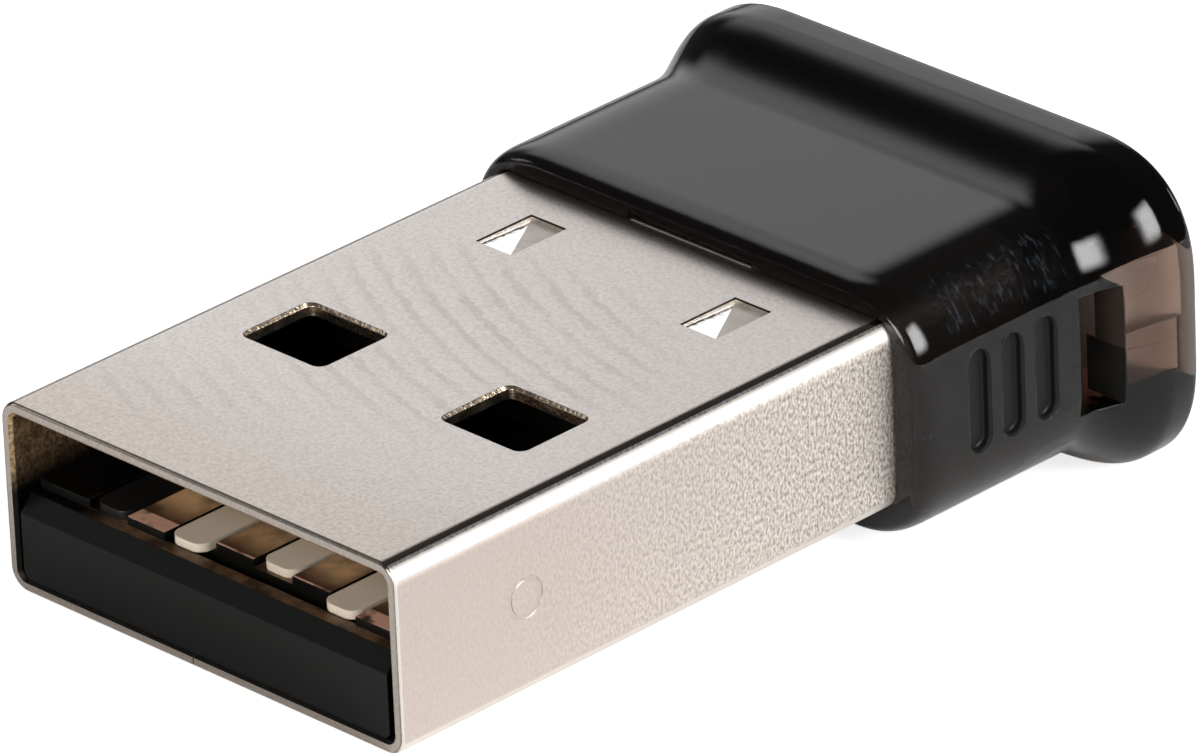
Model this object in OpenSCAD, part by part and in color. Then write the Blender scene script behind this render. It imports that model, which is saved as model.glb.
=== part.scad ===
// Short USB radio adapter: a sheet-metal plug, a moulded tongue with four contacts, a small
// populated board and a one-piece smoked cap. Units are millimetres.
// The origin is the middle of the plug's mouth. +X is the width, +Y runs from the mouth into the
// body, and +Z is up, on the side of the contacts.

/* [Plug shell] */
// Outside width of the plug
plug_w = 12; // [11.8:0.1:12.4]
// Outside height of the plug
plug_h = 4.5; // [4.4:0.1:4.8]
// Thickness of the folded sheet
sheet_t = 0.3; // [0.2:0.05:0.35]
// Outside radius of the plug's long edges
plug_corner_r = 0.5; // [0.4:0.05:0.7]
// Length of the plug in front of the cap
exposed_len = 14.75; // [14.6:0.05:15.6]
// Length of the shell held inside the cap
held_len = 3.7; // [3.2:0.1:4]
// Width of each latch hole
latch_hole_w = 2.4; // [2:0.1:2.6]
// Length of each latch hole
latch_hole_l = 2.03; // [1.8:0.05:2.4]
// Distance of the latch holes' middles from the plug's middle
latch_hole_x = 3.03; // [2.8:0.05:3.3]
// Front edge of the latch holes behind the mouth
latch_hole_front = 5.43; // [5:0.05:6]
// Radius of the latch holes' corners
latch_hole_r = 0.2; // [0.1:0.05:0.4]
// Width of each pressed dent
dent_w = 1.08; // [0.8:0.05:1.3]
// Length of each pressed dent
dent_l = 1.7; // [1.4:0.1:1.9]
// Depth of a dent along its sheared rear edge
dent_depth = 0.12; // [0.08:0.01:0.25]
// Depth of a dent at its front left corner
dent_corner_depth = 0.08; // [0.05:0.01:0.25]
// Distance of the dents' middles from the plug's middle
dent_x = 3.1; // [2.8:0.05:3.3]
// Front edge of the dents behind the mouth
dent_front = 11.85; // [11.6:0.05:12.2]
// Width of the gap where the sheet's two edges meet
seam_gap = 0.04; // [0.02:0.01:0.08]
// Offset of that seam from the plug's middle
seam_x = -0.35; // [-0.6:0.05:0.6]
// Diameter of the round mark in the side wall
mark_d = 1; // [0.8:0.1:1.4]
// Distance of the round mark behind the mouth
mark_y = 3.7; // [3:0.1:5]
// Height of the round mark above the plug's middle
mark_z = 0.1; // [-0.3:0.1:0.3]
// Depth of the round mark
mark_depth = 0.03; // [0.02:0.01:0.06]

/* [Contact carrier] */
// Height of the tongue's front ledge above the shell's floor
tongue_h = 1.95; // [1.8:0.05:2]
// Gap between the tongue and each side wall of the shell
tongue_gap = 0.12; // [0.05:0.01:0.2]
// Gap between the carrier and the shell's floor and roof
carrier_gap = 0.02; // [0:0.01:0.05]
// Height of the bevel on the tongue's front edge
bevel_h = 0.38; // [0.2:0.02:0.5]
// Length of the bevel on the tongue's front edge
bevel_l = 0.34; // [0.2:0.02:0.4]
// Height of the lands above the front ledge
land_rise = 0.21; // [0.12:0.01:0.24]
// Front edge of the outer lands behind the mouth
outer_land_front = 0.65; // [0.6:0.05:0.65]
// Front edge of the recess behind the mouth
recess_front = 0.7; // [0.66:0.02:0.8]
// Front edge of the inner lands behind the mouth
inner_land_front = 1.04; // [0.95:0.01:1.2]
// Depth of the recess below the front ledge
recess_depth = 0.35; // [0.2:0.05:0.6]
// Depth of the open cavity above the tongue
cavity_depth = 9.2; // [9:0.1:9.6]
// Distance of the carrier's back in front of the cap
carrier_back = 0.55; // [0.4:0.05:0.8]

/* [Contacts] */
// Width of a contact
contact_w = 0.97; // [0.8:0.01:1.05]
// Thickness of a contact
contact_t = 0.2; // [0.15:0.01:0.25]
// Distance between neighbouring contacts
contact_pitch = 2.31; // [2.2:0.01:2.4]
// Gap beside a contact in its slot
contact_gap = 0.1; // [0.05:0.01:0.12]
// Distance of the long contacts' tips behind the mouth
tip_y = 0.68; // [0.66:0.01:0.85]
// Extra distance of the short contact's tip
tip_setback = 0.46; // [0.2:0.02:0.8]
// Length of the contact tails behind the carrier
tail_len = 0.9; // [0.7:0.05:1]

/* [Cap] */
// Width of the cap's front part
cap_w = 13.66; // [13.4:0.02:14.2]
// Height of the cap's front part
cap_h = 6; // [5.8:0.05:6.4]
// Distance of the cap's middle below the plug's middle
cap_drop = 0.15; // [0.05:0.05:0.25]
// Corner radius of the cap's front part
cap_corner_r = 1.94; // [1.2:0.02:2.1]
// Rounding of the cap's front edge
front_round = 0.3; // [0.1:0.05:0.4]
// Length of the cap
cap_len = 8.1; // [7.9:0.05:8.9]
// Width of the rear flange
flange_w = 15; // [14.4:0.1:16]
// Height of the rear flange
flange_h = 7.64; // [7:0.02:8.2]
// Distance of the flange's middle below the plug's middle
flange_drop = 0.24; // [0.1:0.02:0.3]
// Corner radius of the flange
flange_corner_r = 2.48; // [1.8:0.02:2.8]
// Length of the flare from front part to flange
flare_l = 1.8; // [1.4:0.1:2]
// Length of the flange behind the flare
flange_l = 0.85; // [0.6:0.05:1]
// Rounding of the flange's rear edge
rear_round = 0.35; // [0.1:0.05:0.5]
// Thickness of the cap's rear wall
rear_wall = 0.9; // [0.7:0.05:1.2]
// Gap between the shell and the cap
shell_gap = 0.03; // [0.01:0.01:0.05]
// Width of the notch in the rim above the shell
notch_w = 3.8; // [3:0.1:5]
// Length of that notch
notch_l = 0.16; // [0.1:0.02:0.3]
// Height of that notch above the shell
notch_h = 0.2; // [0.1:0.02:0.3]

/* [Grooves and lanyard slot] */
// Number of finger grooves on each side
groove_count = 3; // [1:1:3]
// Width of a groove
groove_w = 0.58; // [0.4:0.02:0.7]
// Height of a groove
groove_h = 2.4; // [1.8:0.1:2.8]
// Depth of a groove
groove_depth = 0.22; // [0.15:0.01:0.35]
// Distance between neighbouring grooves
groove_pitch = 1.04; // [0.8:0.02:1.05]
// Middle of the first groove behind the cap's front
groove_first = 1.84; // [1.4:0.02:1.9]
// Length of the lanyard slot's mouth in the side
slot_l = 1.1; // [0.8:0.05:1.2]
// Height of the lanyard slot
slot_h = 2.85; // [2.4:0.05:3]
// Distance of the lanyard slot's middle below the plug's middle
slot_drop = 0.2; // [0.1:0.05:0.3]
// Distance of the slot's mouth in front of the cap's back
slot_back = 3.12; // [3.05:0.01:3.2]
// Thickness of the corner post at its upper half
post_t = 1.3; // [1.2:0.05:1.5]
// Extra thickness of the corner post at its lower half
post_step = 0.25; // [0:0.05:0.3]
// Width of the slot's leg to the back at its upper half
slot_leg_w = 1; // [0.8:0.05:1.1]
// Wall between the slot and the electronics
slot_wall = 0.7; // [0.5:0.05:0.8]
// Height of the cap's parting line below the plug's middle
parting_drop = 0.3; // [0.1:0.05:0.5]

/* [Board and components] */
// Thickness of the circuit board
board_t = 0.8; // [0.6:0.1:1]
// Gap between the board's long edges and the shell
board_edge_gap = 0.2; // [0.1:0.02:0.3]
// Length of the board's nose held in the carrier
board_nose_l = 3.4; // [3:0.1:3.8]
// Width of the radio chip, whose length follows the room on the board
chip_w = 3.6; // [3.4:0.1:3.8]
// Height of the radio chip
chip_h = 0.85; // [0.6:0.05:1]
// Length of a small chip component
passive_l = 1; // [0.8:0.05:1.1]
// Width of a small chip component
passive_w = 0.5; // [0.4:0.05:0.6]
// Length of a medium component
medium_l = 1.6; // [1.4:0.05:1.7]
// Width of a medium component, and of the rear row
medium_w = 0.8; // [0.6:0.05:0.9]
// Thickness of the board's copper
copper_t = 0.04; // [0.03:0.01:0.06]

/* [Hidden] */
$fn = 48;
// A cut runs this far past the face that it opens
over = 0.5;
// Inside of the shell
inner_w = plug_w - 2 * sheet_t;
inner_h = plug_h - 2 * sheet_t;
inner_r = plug_corner_r - sheet_t;
shell_len = exposed_len + held_len;
total_len = exposed_len + cap_len;
carrier_len = exposed_len - carrier_back;

// Levels of the tongue, above and below the plug's middle
tongue_bottom = -inner_h / 2 + carrier_gap;
ledge_z = -inner_h / 2 + tongue_h;
land_z = ledge_z + land_rise;
carrier_top = inner_h / 2 - carrier_gap;
tongue_w = inner_w - 2 * tongue_gap;
tongue_front = 0.03;

// Contacts stand this far above the lands
contact_proud = 0.01;
contact_bottom = land_z + contact_proud - contact_t;
contact_slot_w = contact_w + 2 * contact_gap;
contact_nose_r = 0.3;
contact_x = [for (i = [0 : 3]) (i - 1.5) * contact_pitch];
tail_end = carrier_len + tail_len;

// Board, whose copper carries the contact tails
board_top = contact_bottom - copper_t;
board_bottom = board_top - board_t;
board_w = inner_w - 2 * board_edge_gap;
board_nose_w = board_w - 1.6;
board_front = carrier_len - board_nose_l;
board_shoulder = carrier_len + 0.1;
fit = 0.02;

// Lanyard slot: its mouth is in the side, and its leg runs to the back
slot_front = total_len - slot_back;
slot_out_x = flange_w / 2 - post_t;
slot_in_x = slot_out_x - slot_leg_w;
slot_low = -slot_drop - slot_h / 2;
slot_high = -slot_drop + slot_h / 2;

// Room for the electronics inside the cap
room_front = shell_len + 0.05;
room_step = slot_front - slot_wall;
room_right = slot_in_x - slot_wall;
room_back = total_len - rear_wall;
room_h = plug_h + 2 * shell_gap;
board_step = room_step - 0.15;
board_right = room_right - 0.2;
board_end = room_back - 0.2;

// Room on the board between the contacts' pads and the antenna: the chip, then one row
pad_reach = 0.45;
antenna_l = 1;
antenna_y = board_end - 0.2 - antenna_l;
area_front = tail_end + pad_reach + 0.1;
row_gap = 0.25;
rear_row_y = antenna_y - row_gap - medium_w / 2;
chip_l = antenna_y - area_front - medium_w - 2 * row_gap;
chip_x = -1.2;
chip_y = area_front + chip_l / 2;
antenna_pitch = 0.6;
antenna_line = 0.2;

function mix(a, b, t) = a + (b - a) * t;

// Outline of a rectangle with round corners, about the origin
module rounded_rect(w, h, r) {
    square([w - 2 * r, h], center = true);
    square([w, h - 2 * r], center = true);
    for (x = [-1, 1], y = [-1, 1])
        translate([x * (w / 2 - r), y * (h / 2 - r)]) circle(r);
}

// Extrudes an outline in X and Z along Y, from y0 to y1
module along_y(y0, y1)
    translate([0, y1, 0]) rotate([90, 0, 0]) linear_extrude(y1 - y0) children();

// Extrudes an outline in Y and Z to both sides of x, over a width w
module along_x(x, w)
    translate([x - w / 2, 0, 0]) rotate([90, 0, 90]) linear_extrude(w) children();

// Box between two corners
module box(a, b) translate(a) cube(b - a);

// Rounded box that stands on z, its middle at x and y
module chip(x, y, z, w, l, h, r = 0.05)
    translate([x, y, z]) linear_extrude(h) rounded_rect(w, l, r);

// Thin straight cut between two points
module cut_line(a, b, w) {
    run = norm(b - a);
    translate(a) rotate(atan2(b[1] - a[1], b[0] - a[0]))
        translate([-w / 2, -w / 2]) square([run + w, w]);
}

// Wedge under one pressed dent, which rises to the surface at its front right corner
module dent_wedge(x, top, reach, grow) {
    l = x - dent_w / 2 - grow;
    r = x + dent_w / 2 + grow;
    f = dent_front - grow;
    b = dent_front + dent_l + grow;
    polyhedron(
        [[l, f, top + reach], [r, f, top + reach], [r, b, top + reach], [l, b, top + reach],
         [l, f, top - dent_corner_depth], [r, f, top], [r, b, top - dent_depth],
         [l, b, top - dent_depth]],
        [[3, 2, 1, 0], [0, 1, 5, 4], [1, 2, 6, 5], [2, 3, 7, 6], [3, 0, 4, 7],
         [4, 5, 7], [5, 6, 7]]);
}

// The seam's line, with two dovetails that lock the sheet's edges
seam_lock = [0.8, 0.9, 0.25];
seam_locks_y = [4.5, 9.5];
seam_path = concat(
    [[seam_x, -over]],
    [for (y = seam_locks_y) each [
        [seam_x, y - seam_lock[1] + seam_lock[2]],
        [seam_x + seam_lock[0], y - seam_lock[1]],
        [seam_x + seam_lock[0], y + seam_lock[1]],
        [seam_x, y + seam_lock[1] - seam_lock[2]]]],
    [[seam_x, shell_len + over]]);

module seam_cut()
    translate([0, 0, -plug_h / 2 - over]) linear_extrude(sheet_t + 2 * over)
        for (i = [1 : len(seam_path) - 1])
            cut_line(seam_path[i - 1], seam_path[i], seam_gap);

module latch_holes()
    for (x = [-1, 1])
        translate([x * latch_hole_x, latch_hole_front + latch_hole_l / 2, 0])
            for (z = [-1, 1])
                translate([0, 0, z * (plug_h - sheet_t) / 2 - sheet_t])
                    linear_extrude(2 * sheet_t)
                        rounded_rect(latch_hole_w, latch_hole_l, latch_hole_r);

module round_mark()
    translate([plug_w / 2 - mark_depth, mark_y, mark_z]) rotate([0, 90, 0])
        difference() {
            cylinder(h = over, d = mark_d);
            translate([0, 0, -over]) cylinder(h = 3 * over, d = mark_d - 0.12);
        }

module plug_shell() color([0.76, 0.74, 0.7]) difference() {
    union() {
        along_y(0, shell_len) difference() {
            rounded_rect(plug_w, plug_h, plug_corner_r);
            rounded_rect(inner_w, inner_h, inner_r);
        }
        for (x = [-1, 1]) dent_wedge(x * dent_x, inner_h / 2, sheet_t / 2, 0.08);
    }
    latch_holes();
    for (x = [-1, 1]) dent_wedge(x * dent_x, plug_h / 2, over, 0);
    seam_cut();
    round_mark();
}

module contact_carrier() color([0.05, 0.05, 0.055]) difference() {
    intersection() {
        along_x(0, tongue_w) polygon([
            [tongue_front, tongue_bottom],
            [tongue_front, ledge_z - bevel_h],
            [tongue_front + bevel_l, ledge_z],
            [outer_land_front, ledge_z],
            [outer_land_front, land_z],
            [cavity_depth, land_z],
            [cavity_depth, carrier_top],
            [carrier_len, carrier_top],
            [carrier_len, tongue_bottom]]);
        // The corners follow the inside of the shell
        along_y(0, carrier_len) rounded_rect(tongue_w, inner_h - 2 * carrier_gap, inner_r);
    }
    // The recess in front of the inner lands
    box([contact_x[1] - contact_slot_w / 2, outer_land_front - fit, ledge_z],
        [contact_x[3] + contact_slot_w / 2, inner_land_front, land_z + fit]);
    box([contact_x[1] - contact_slot_w / 2, recess_front, ledge_z - recess_depth],
        [contact_x[3] + contact_slot_w / 2, inner_land_front, land_z + fit]);
    // The contacts' slots, open above the tongue and closed behind the cavity
    for (x = contact_x) {
        box([x - contact_slot_w / 2, outer_land_front - fit, contact_bottom],
            [x + contact_slot_w / 2, cavity_depth, land_z + fit]);
        box([x - contact_slot_w / 2, cavity_depth - fit, contact_bottom],
            [x + contact_slot_w / 2, carrier_len + over, contact_bottom + contact_t + 2 * fit]);
    }
    // The pocket for the board's nose
    box([-board_nose_w / 2 - fit, board_front - 2 * fit, board_bottom - fit],
        [board_nose_w / 2 + fit, carrier_len + over, contact_bottom]);
    // Room for the shell's dents
    for (x = [-1, 1])
        box([x * dent_x - dent_w / 2 - 0.15, dent_front - 0.15, inner_h / 2 - dent_depth - 0.1],
            [x * dent_x + dent_w / 2 + 0.15, dent_front + dent_l + 0.15, inner_h / 2 + over]);
}

// One stamped contact with a rounded tip
module contact(x, front)
    translate([x, 0, contact_bottom]) linear_extrude(contact_t) {
        translate([-contact_w / 2, front + contact_nose_r])
            square([contact_w, tail_end - front - contact_nose_r]);
        translate([contact_nose_r - contact_w / 2, front])
            square([contact_w - 2 * contact_nose_r, 2 * contact_nose_r]);
        for (s = [-1, 1])
            translate([s * (contact_w / 2 - contact_nose_r), front + contact_nose_r])
                circle(contact_nose_r);
    }

module contact_ground() color([0.75, 0.74, 0.7]) contact(contact_x[0], tip_y);

module contact_data_plus() color([0.75, 0.74, 0.7]) contact(contact_x[1], tip_y);

module contact_data_minus() color([0.75, 0.74, 0.7]) contact(contact_x[2], tip_y + tip_setback);

module contact_power() color([0.75, 0.74, 0.7]) contact(contact_x[3], tip_y);

module circuit_board() color([0.08, 0.25, 0.12])
    translate([0, 0, board_bottom]) linear_extrude(board_t) polygon([
        [-board_nose_w / 2, board_front], [board_nose_w / 2, board_front],
        [board_nose_w / 2, board_shoulder], [board_w / 2, board_shoulder],
        [board_w / 2, board_step], [board_right, board_step],
        [board_right, board_end], [-board_w / 2, board_end],
        [-board_w / 2, board_shoulder], [-board_nose_w / 2, board_shoulder]]);

// The joints of shell and board, and their pads, have this place and size
shell_joint_y = tail_end + 0.7;
shell_joint_l = 1.4;
shell_joint_w = 0.6;

module board_pads() color([0.8, 0.5, 0.25]) {
    for (x = contact_x)
        box([x - contact_w / 2, board_shoulder, board_top],
            [x + contact_w / 2, tail_end + pad_reach, contact_bottom]);
    for (s = [-1, 1])
        translate([s * (board_w - shell_joint_w) / 2, shell_joint_y, board_top])
            translate([-shell_joint_w / 2, 0, 0])
                cube([shell_joint_w, shell_joint_l, copper_t]);
}

module radio_chip() color([0.1, 0.1, 0.1])
    chip(chip_x, chip_y, board_top, chip_w, chip_l, chip_h, 0.1);

// The crystal and its capacitors share the wide part of the board
crystal_w = 2.5;
crystal_l = 0.62 * (board_step - area_front);
crystal_x = board_w / 2 - 0.95 - crystal_w / 2;

module crystal() color([0.8, 0.8, 0.78])
    chip(crystal_x, area_front + crystal_l / 2, board_top, crystal_w, crystal_l, 0.6, 0.3);

// Small chip component on the upper side, lying along X
module passive(x, y, h = 0.5) chip(x, y, board_top, passive_l, passive_w, h);

// The same on the lower side
module passive_below(x, y, h = 0.5) chip(x, y, board_bottom - h, passive_l, passive_w, h);

module crystal_capacitors() color([0.7, 0.55, 0.4])
    for (i = [-1, 1]) passive(crystal_x + i * 0.7 * passive_l, board_step - 0.15 - passive_w / 2);

module data_resistors() color([0.12, 0.12, 0.14])
    for (i = [0, 1])
        passive(-board_w / 2 + 1.4, area_front + passive_w / 2 + i * 0.48 * chip_l, 0.35);

module led_resistor() color([0.12, 0.12, 0.14])
    passive(-board_w / 2 + 1.4, rear_row_y - medium_w / 2 - row_gap - passive_w / 2, 0.35);

// Places in the rear row are shares of the board's width there
function row_x(share) = mix(-board_w / 2, board_right, share);

module status_led() color([0.75, 0.8, 0.95])
    chip(row_x(0.12), rear_row_y, board_top, medium_l, medium_w, 0.6);

module rf_filter() color([0.85, 0.83, 0.78])
    chip(row_x(0.44), rear_row_y, board_top, medium_l, medium_w, 0.6);

module matching_inductor() color([0.25, 0.3, 0.4])
    passive(row_x(0.62), rear_row_y);

module memory_chip() color([0.1, 0.1, 0.1])
    chip(chip_x - 1.2, chip_y + 0.2, board_bottom - 0.75, 3, 0.55 * chip_l, 0.75, 0.08);

// Three-legged regulator on the lower side
module voltage_regulator() color([0.1, 0.1, 0.1]) {
    chip(2.3, chip_y, board_bottom - 1, 2.9, 1.3, 0.9);
    for (leg = [[-0.95, -1], [0.95, -1], [0, 1]])
        translate([2.3 + leg[0] - 0.2, chip_y + leg[1] * 0.9 - 0.3, board_bottom - 0.15])
            cube([0.4, 0.6, 0.15]);
}

module surge_diode() color([0.1, 0.1, 0.1])
    chip(-board_w / 2 + 0.8, area_front + medium_w / 2, board_bottom - 0.6, 1.2, medium_w, 0.6);

module ferrite_bead() color([0.3, 0.3, 0.32])
    chip(row_x(0.58), rear_row_y, board_bottom - 0.8, medium_l, medium_w, 0.8);

module input_capacitor() color([0.7, 0.55, 0.4])
    chip(row_x(0.82), rear_row_y, board_bottom - 0.8, medium_l, medium_w, 0.8);

module decoupling_capacitors() color([0.7, 0.55, 0.4])
    for (i = [0 : 2]) passive_below(row_x(0.11 + 0.15 * i), rear_row_y);

// Folded line of copper along the board's rear edge
antenna_turns = floor((board_right + board_w / 2 - 1) / antenna_pitch);
antenna_x = -board_w / 2 + 0.5;

module antenna_trace() color([0.8, 0.5, 0.25])
    translate([antenna_x, antenna_y, board_top]) linear_extrude(copper_t)
        for (i = [0 : antenna_turns]) {
            translate([i * antenna_pitch, 0]) square([antenna_line, antenna_l]);
            if (i < antenna_turns)
                translate([i * antenna_pitch, (i % 2) * (antenna_l - antenna_line)])
                    square([antenna_pitch + antenna_line, antenna_line]);
        }

module contact_solder() color([0.7, 0.7, 0.7])
    for (x = contact_x)
        along_x(x, contact_w - 0.2) polygon([
            [tail_end, contact_bottom],
            [tail_end + pad_reach - 0.1, contact_bottom],
            [tail_end, contact_bottom + contact_t]]);

module shell_solder() color([0.7, 0.7, 0.7])
    for (s = [-1, 1])
        along_y(shell_joint_y, shell_joint_y + shell_joint_l) polygon([
            [s * inner_w / 2, contact_bottom],
            [s * (board_w / 2 - shell_joint_w), contact_bottom],
            [s * inner_w / 2, contact_bottom + 0.6]]);

// One ring of the cap's outline, with its corners as arcs
corner_steps = 12;
function ring(y, w, h, drop, r) = [
    for (corner = [[1, 1, 0], [-1, 1, 90], [-1, -1, 180], [1, -1, 270]])
        for (k = [0 : corner_steps])
            let (a = corner[2] + 90 * k / corner_steps)
                [corner[0] * (w / 2 - r) + r * cos(a), y,
                 corner[1] * (h / 2 - r) + r * sin(a) - drop]];

// A ring of the front part or of the flange, drawn in by an inset
function cap_ring(y, inset) =
    ring(y, cap_w - 2 * inset, cap_h - 2 * inset, cap_drop, cap_corner_r - inset);
function flange_ring(y, inset) =
    ring(y, flange_w - 2 * inset, flange_h - 2 * inset, flange_drop, flange_corner_r - inset);

function ease(t) = t * t * (3 - 2 * t);

round_steps = 4;
flare_steps = 12;
flare_start = total_len - flange_l - flare_l;
cap_rings = concat(
    [for (k = [0 : round_steps])
        let (a = 90 * k / round_steps)
            cap_ring(exposed_len + front_round * (1 - cos(a)), front_round * (1 - sin(a)))],
    [for (k = [0 : flare_steps])
        let (t = ease(k / flare_steps))
            ring(flare_start + flare_l * k / flare_steps, mix(cap_w, flange_w, t),
                 mix(cap_h, flange_h, t), mix(cap_drop, flange_drop, t),
                 mix(cap_corner_r, flange_corner_r, t))],
    [for (k = [0 : round_steps])
        let (a = 90 * k / round_steps)
            flange_ring(total_len - rear_round * (1 - sin(a)), rear_round * (1 - cos(a)))]);

// Solid through a list of rings that have the same number of points
module loft(rings) {
    n = len(rings[0]);
    last = len(rings) - 1;
    polyhedron(
        [for (r = rings) each r],
        concat(
            [[for (k = [0 : n - 1]) k]],
            [for (j = [0 : last - 1], k = [0 : n - 1])
                let (a = j * n + k, b = j * n + (k + 1) % n) [a, a + n, b + n, b]],
            [[for (k = [n - 1 : -1 : 0]) last * n + k]]));
}

// Upright groove with round ends, cut into the side at s times +X
module groove(s, y)
    translate([s * (cap_w / 2 - groove_depth), y, 0]) rotate([0, s * 90, 0])
        linear_extrude(over) {
            square([groove_h - groove_w, groove_w], center = true);
            for (e = [-1, 1]) translate([e * (groove_h - groove_w) / 2, 0]) circle(groove_w / 2);
        }

module lanyard_slot() {
    box([slot_in_x, slot_front, slot_low], [flange_w / 2 + over, slot_front + slot_l, slot_high]);
    box([slot_in_x, slot_front, -parting_drop], [slot_out_x, total_len + over, slot_high]);
    box([slot_in_x, slot_front, slot_low],
        [slot_out_x - post_step, total_len + over, -parting_drop + fit]);
}

module electronics_room() {
    box([-inner_w / 2, room_front - over, -room_h / 2], [inner_w / 2, room_step, room_h / 2]);
    box([-inner_w / 2, room_step - over, -room_h / 2], [room_right, room_back, room_h / 2]);
}

module housing() color([0.06, 0.05, 0.05, 0.9]) difference() {
    loft(cap_rings);
    along_y(exposed_len - over, room_front)
        rounded_rect(plug_w + 2 * shell_gap, room_h, plug_corner_r + shell_gap);
    electronics_room();
    box([-notch_w / 2, exposed_len - over, 0], [notch_w / 2, exposed_len + notch_l, plug_h / 2 + notch_h]);
    for (s = [-1, 1], i = [0 : groove_count - 1])
        groove(s, exposed_len + groove_first + i * groove_pitch);
    lanyard_slot();
}

plug_shell();
contact_carrier();
contact_power();
contact_data_minus();
contact_data_plus();
contact_ground();
circuit_board();
board_pads();
radio_chip();
memory_chip();
voltage_regulator();
crystal();
crystal_capacitors();
rf_filter();
matching_inductor();
antenna_trace();
status_led();
led_resistor();
data_resistors();
surge_diode();
ferrite_bead();
input_capacitor();
decoupling_capacitors();
contact_solder();
shell_solder();
housing();
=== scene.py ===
import math

import bmesh
import bpy
from mathutils import Matrix, Vector


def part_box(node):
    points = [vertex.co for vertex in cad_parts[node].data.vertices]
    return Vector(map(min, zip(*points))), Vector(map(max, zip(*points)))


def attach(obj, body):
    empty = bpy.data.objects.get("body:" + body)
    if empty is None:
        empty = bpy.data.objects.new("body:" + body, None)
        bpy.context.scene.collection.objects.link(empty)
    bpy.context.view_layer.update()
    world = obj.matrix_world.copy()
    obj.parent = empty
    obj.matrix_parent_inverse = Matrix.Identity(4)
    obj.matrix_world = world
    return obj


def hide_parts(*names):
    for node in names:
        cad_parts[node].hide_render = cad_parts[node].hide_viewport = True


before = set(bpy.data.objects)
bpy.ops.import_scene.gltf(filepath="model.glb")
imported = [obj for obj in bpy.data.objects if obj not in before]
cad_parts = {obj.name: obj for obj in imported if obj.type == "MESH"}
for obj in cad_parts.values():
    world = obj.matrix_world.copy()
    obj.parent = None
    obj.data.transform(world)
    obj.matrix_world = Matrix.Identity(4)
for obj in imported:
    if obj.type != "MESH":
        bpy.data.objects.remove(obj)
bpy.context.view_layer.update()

MM = 0.001

# Sizes of the detailed pieces, in millimetres, as in the part's own source
SHEET = 0.3
PLUG_CORNER = 0.5
EXPOSED = 14.75
HOLE_W, HOLE_L, HOLE_X, HOLE_FRONT, HOLE_R = 2.4, 2.03, 3.03, 5.43, 0.2
DENT_W, DENT_L, DENT_X, DENT_FRONT = 1.08, 1.7, 3.1, 11.85
DENT_DEPTH, DENT_CORNER_DEPTH = 0.12, 0.08
SEAM_X, SEAM_GAP, LOCK_W, LOCK_L, LOCK_SLANT = -0.35, 0.04, 0.8, 0.9, 0.25
LOCKS_Y = (4.5, 9.5)
MARK_Y, MARK_Z, MARK_D, MARK_WIDTH, MARK_DEPTH = 3.7, 0.1, 1.0, 0.1, 0.03
CAP_W, CAP_H, CAP_DROP, CAP_R = 13.66, 6.0, 0.15, 1.94
FLANGE_W, FLANGE_H, FLANGE_DROP, FLANGE_R = 15.0, 7.64, 0.24, 2.48
FRONT_ROUND, REAR_ROUND, FLARE, FLANGE_L = 0.3, 0.35, 1.8, 0.85
NOTCH_W, NOTCH_L, NOTCH_H = 3.8, 0.16, 0.2
GROOVE_W, GROOVE_H, GROOVE_DEPTH = 0.58, 2.4, 0.22
GROOVE_FIRST, GROOVE_PITCH, GROOVES = 1.84, 1.04, 3
SLOT_L, SLOT_H, SLOT_DROP, SLOT_BACK = 1.1, 2.85, 0.2, 3.12
POST, POST_STEP, SLOT_LEG, SLOT_WALL = 1.3, 0.25, 1.0, 0.7
PARTING_DROP = 0.3
SHELL_GAP, ROOM_GAP, REAR_WALL = 0.03, 0.05, 0.9

# Finer sizes that only the scene has, in millimetres
LIP, INNER_LIP, LEAST_ROUND = 0.1, 0.08, 0.02
HOLE_ROLL, HOLE_DRAW = 0.07, 0.9
DENT_BULGE = 0.08
SEAM_MITRE, SEAM_PAST = 0.3, 0.1
RIDGE_Y, RIDGE_R, RIDGE_SHORT = 0.05, 0.035, 0.1
CORNER_POWER, ROUND_POWER, FRONT_REACH = 2.5, 0.85, 0.75
FLARE_LEAD, FLARE_BIAS = 0.5, 1.22
PARTING_GAP = 0.007
GROOVE_SOFT, GROOVE_SPREAD = 0.07, 0.8
SLOT_SKIN, BACK_WALL_L = 0.01, 2.3

# Cutters reach past what they cut, start inside the cut before, and differ a little in height
OVER, INTO, STEP = 0.5, 0.2, 0.001

SHELL_LOW, SHELL_HIGH = (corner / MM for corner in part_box("plug_shell"))
PLUG_W, PLUG_H = SHELL_HIGH.x - SHELL_LOW.x, SHELL_HIGH.z - SHELL_LOW.z
SHELL_LEN = SHELL_HIGH.y
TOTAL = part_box("housing")[1].y / MM

# Places in the lanyard slot, in millimetres
SLOT_FRONT = TOTAL - SLOT_BACK
SLOT_OUT_X = FLANGE_W / 2 - POST
SLOT_IN_X = SLOT_OUT_X - SLOT_LEG
SLOT_LOW, SLOT_HIGH = -SLOT_DROP - SLOT_H / 2, -SLOT_DROP + SLOT_H / 2


# Outlines and rings of points
def rounded_outline(w, h, r, steps=12):
    """Points of a rectangle with round corners, counter-clockwise."""
    points = []
    for sx, sy, start in ((1, 1, 0), (-1, 1, 90), (-1, -1, 180), (1, -1, 270)):
        for k in range(steps + 1):
            a = math.radians(start + 90 * k / steps)
            points.append((sx * (w / 2 - r) + r * math.cos(a), sy * (h / 2 - r) + r * math.sin(a)))
    return points


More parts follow.
